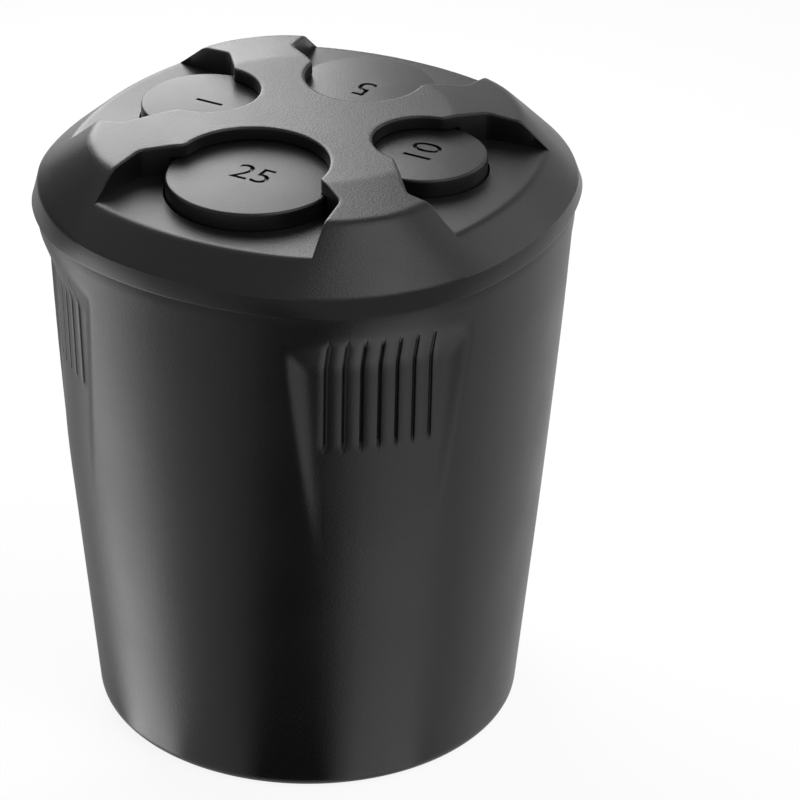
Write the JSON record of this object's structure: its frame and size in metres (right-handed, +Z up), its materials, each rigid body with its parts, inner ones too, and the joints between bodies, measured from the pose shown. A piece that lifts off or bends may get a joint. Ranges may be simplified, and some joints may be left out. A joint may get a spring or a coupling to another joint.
{
  "type": "coin holder",
  "caption": "Tapered black cup for a car's drinks holder, with a cross-armed cap and sprung round pushers that hold sorted coin stacks, each slid out by thumb through a notch.",
  "frame": {"origin": "centre of the base, on the surface that the holder stands on", "axes": "+Z up along the cup's axis, -Y to the front arm of the cross; the quarter stands at -X -Y"},
  "size_m": [0.0784, 0.0784, 0.0924],
  "materials": {
    "shell": "black satin moulded plastic with a fine grain",
    "pusher": "black satin moulded plastic with sunk numbers",
    "inner": "dark grey plain moulded plastic",
    "spring": "drawn bright spring wire"
  },
  "bodies": {
    "housing": {"outer_cup": "shell", "top_cap": "shell", "spring_plate": "inner", "quarter_tube": "inner", "dime_tube": "inner", "nickel_tube": "inner", "penny_tube": "inner", "quarter_spring": "spring", "dime_spring": "spring", "nickel_spring": "spring", "penny_spring": "spring"},
    "quarter_plunger": {"quarter_pusher": "pusher"},
    "dime_plunger": {"dime_pusher": "pusher"},
    "nickel_plunger": {"nickel_pusher": "pusher"},
    "penny_plunger": {"penny_pusher": "pusher"}
  },
  "joints": [
    {"name": "quarter_press", "type": "slide", "parent": "housing", "child": "quarter_plunger", "axis": [0, 0, -1], "range_m": [0, 0.06], "stiffness_N_per_m": 35, "springref_m": -0.015, "deforming": ["quarter_spring"]},
    {"name": "dime_press", "type": "slide", "parent": "housing", "child": "dime_plunger", "axis": [0, 0, -1], "range_m": [0, 0.06], "stiffness_N_per_m": 35, "springref_m": -0.015, "deforming": ["dime_spring"]},
    {"name": "nickel_press", "type": "slide", "parent": "housing", "child": "nickel_plunger", "axis": [0, 0, -1], "range_m": [0, 0.06], "stiffness_N_per_m": 35, "springref_m": -0.015, "deforming": ["nickel_spring"]},
    {"name": "penny_press", "type": "slide", "parent": "housing", "child": "penny_plunger", "axis": [0, 0, -1], "range_m": [0, 0.06], "stiffness_N_per_m": 35, "springref_m": -0.015, "deforming": ["penny_spring"]}
  ]
}
